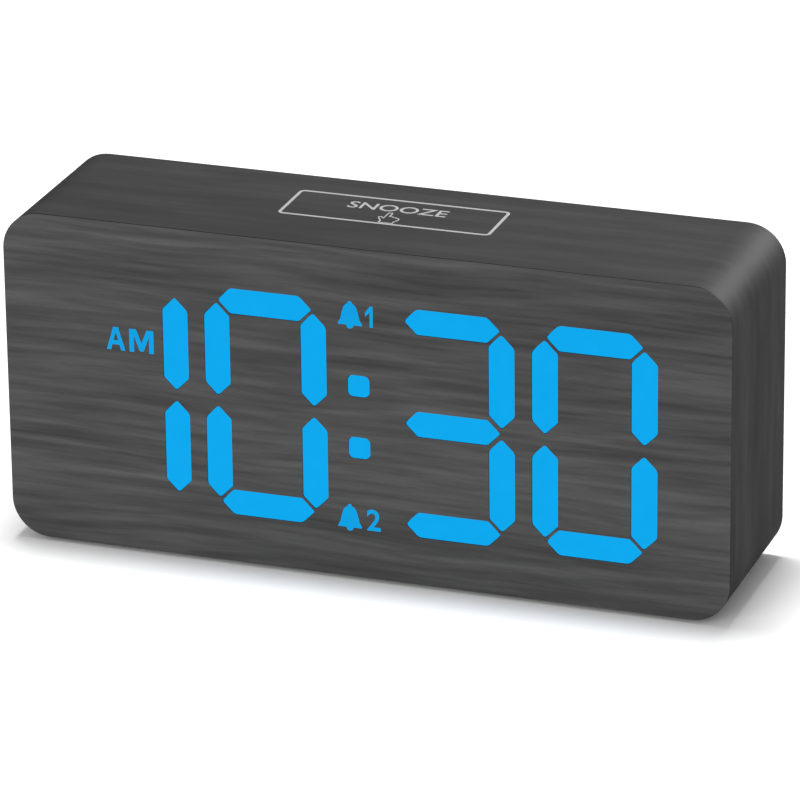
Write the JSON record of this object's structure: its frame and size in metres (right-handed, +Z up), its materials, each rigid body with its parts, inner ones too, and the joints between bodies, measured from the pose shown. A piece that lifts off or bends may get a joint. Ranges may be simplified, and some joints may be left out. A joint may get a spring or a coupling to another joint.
{
  "type": "digital alarm clock",
  "caption": "Rounded rectangular wood-look bedside clock with large blue seven-segment digits, touch snooze zone on top, and rear buttons, dimmer, battery door and power socket.",
  "frame": {"origin": "middle of the footprint, on the plane that the feet stand on", "axes": "+Z up, +X to the right across the face as one looks at it, the face looks along -Y"},
  "size_m": [0.152, 0.038, 0.0708],
  "materials": {
    "wood_grain_film": "satin printed wood grain film",
    "fibreboard": "raw fibreboard",
    "pine": "sawn",
    "foot_rubber": "matte",
    "lit_lens": "diffusing acrylic, lit",
    "dark_lens": "diffusing acrylic",
    "white_plastic": "moulded",
    "circuit_board": "solder mask",
    "led_package": "cast resin",
    "bright_steel": "zinc plated",
    "black_steel": "black oxide",
    "cover_plastic": "moulded, fine texture",
    "cell_jacket": "printed jacket",
    "nickel": "nickel plated",
    "chip_plastic": "moulded",
    "button_plastic": "moulded, satin",
    "stem_plastic": "moulded",
    "knob_plastic": "moulded, ribbed",
    "socket_plastic": "moulded",
    "basket_steel": "black zinc",
    "cone_film": "formed film",
    "magnet": "plated",
    "copper": "rolled foil",
    "wire_cover": "extruded",
    "ribbon": "flat cable"
  },
  "bodies": {
    "clock": {"wrap_film": "wood_grain_film", "front_film": "wood_grain_film", "case_sleeve": "fibreboard", "front_board": "fibreboard", "corner_posts": "pine", "rubber_feet": "foot_rubber", "lit_lenses": "lit_lens", "dark_lenses": "dark_lens", "reflector_block": "white_plastic", "ribbon_headers": "white_plastic", "display_board": "circuit_board", "main_board": "circuit_board", "display_leds": "led_package", "display_screws": "bright_steel", "board_screws": "bright_steel", "cover_screws": "black_steel", "back_cover": "cover_plastic", "backup_cells": "cell_jacket", "battery_springs": "nickel", "battery_plates": "nickel", "socket_pin": "nickel", "socket_nut": "nickel", "control_chip": "chip_plastic", "switch_bodies": "chip_plastic", "pot_body": "chip_plastic", "dc_socket": "socket_plastic", "speaker_basket": "basket_steel", "speaker_cone": "cone_film", "speaker_magnet": "magnet", "touch_pad": "copper", "touch_leaf": "copper", "socket_leads": "wire_cover", "speaker_leads": "wire_cover", "battery_leads": "wire_cover", "ribbon_cable": "ribbon"},
    "battery_door": {"battery_door": "cover_plastic"},
    "dimmer": {"dimmer_knob": "knob_plastic", "pot_shaft": "nickel"},
    "button_set": {"button_set": "button_plastic", "plunger_set": "stem_plastic"},
    "button_alarm_one": {"button_alarm_one": "button_plastic", "plunger_alarm_one": "stem_plastic"},
    "button_alarm_two": {"button_alarm_two": "button_plastic", "plunger_alarm_two": "stem_plastic"},
    "button_up": {"button_up": "button_plastic", "plunger_up": "stem_plastic"},
    "button_down": {"button_down": "button_plastic", "plunger_down": "stem_plastic"}
  },
  "joints": [
    {"name": "battery_door_hinge", "type": "hinge", "parent": "clock", "child": "battery_door", "pos_m": [-0.0324, 0.0153, 0.0103], "axis": [-1, 0, 0], "range_deg": [0, 90]},
    {"name": "dimmer_turn", "type": "hinge", "parent": "clock", "child": "dimmer", "pos_m": [0.042, 0.0165, 0.0524], "axis": [0, 1, 0], "range_deg": [-135, 135]},
    {"name": "press_set", "type": "slide", "parent": "clock", "child": "button_set", "axis": [0, -1, 0], "range_m": [0, 0.0005], "stiffness_N_per_m": 300},
    {"name": "press_alarm_one", "type": "slide", "parent": "clock", "child": "button_alarm_one", "axis": [0, -1, 0], "range_m": [0, 0.0005], "stiffness_N_per_m": 300},
    {"name": "press_alarm_two", "type": "slide", "parent": "clock", "child": "button_alarm_two", "axis": [0, -1, 0], "range_m": [0, 0.0005], "stiffness_N_per_m": 300},
    {"name": "press_up", "type": "slide", "parent": "clock", "child": "button_up", "axis": [0, -1, 0], "range_m": [0, 0.0005], "stiffness_N_per_m": 300},
    {"name": "press_down", "type": "slide", "parent": "clock", "child": "button_down", "axis": [0, -1, 0], "range_m": [0, 0.0005], "stiffness_N_per_m": 300}
  ]
}
